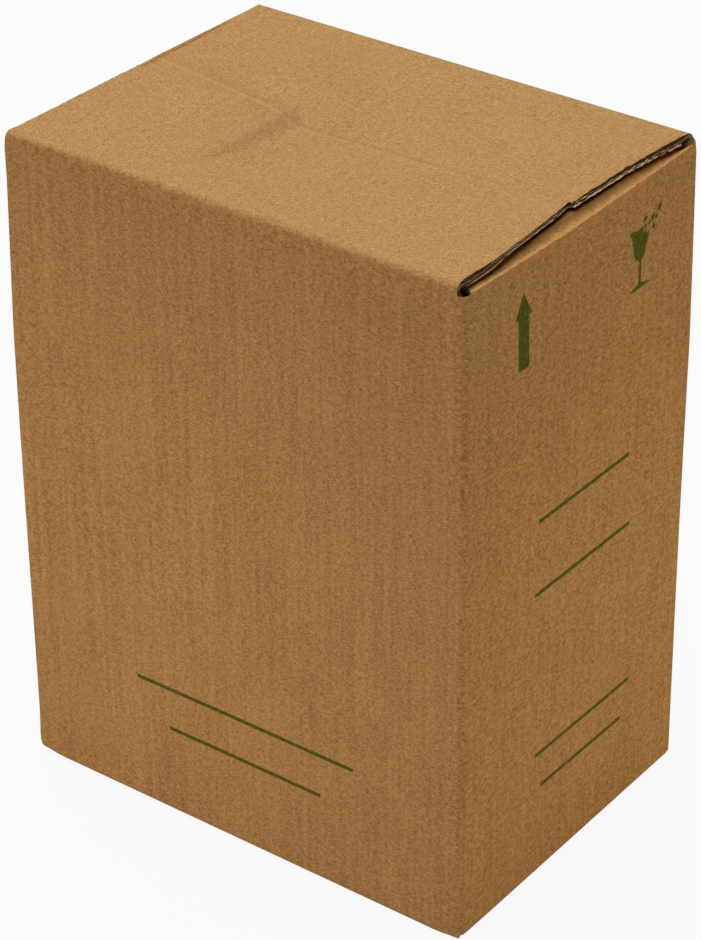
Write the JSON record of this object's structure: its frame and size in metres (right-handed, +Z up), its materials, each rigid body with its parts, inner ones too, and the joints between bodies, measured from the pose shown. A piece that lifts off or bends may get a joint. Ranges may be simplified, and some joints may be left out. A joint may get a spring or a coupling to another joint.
{
  "type": "bottle shipping box",
  "caption": "Tall slotted corrugated carton for shipping bottles, with hinged long top flaps, folded inner flaps, a closed bottom and an interlocking bottle partition.",
  "frame": {"origin": "centre of the bottom, on the plane that the carton stands on", "axes": "+Z up, X along the long walls, Y from the front long wall to the rear one"},
  "size_m": [0.25, 0.175, 0.331],
  "materials": {
    "corrugated_board": "matt brown kraft liner",
    "partition_board": "matt solid fibreboard"
  },
  "bodies": {
    "carton_body": {"carton": "corrugated_board", "long_divider": "partition_board", "left_cross_divider": "partition_board", "right_cross_divider": "partition_board"},
    "front_flap": {"front_top_flap": "corrugated_board"},
    "rear_flap": {"rear_top_flap": "corrugated_board"}
  },
  "joints": [
    {"name": "front_flap_hinge", "type": "hinge", "parent": "carton_body", "child": "front_flap", "pos_m": [0, -0.0875, 0.331], "axis": [1, 0, 0], "range_deg": [0, 175]},
    {"name": "rear_flap_hinge", "type": "hinge", "parent": "carton_body", "child": "rear_flap", "pos_m": [0, 0.0875, 0.331], "axis": [-1, 0, 0], "range_deg": [0, 175]}
  ]
}
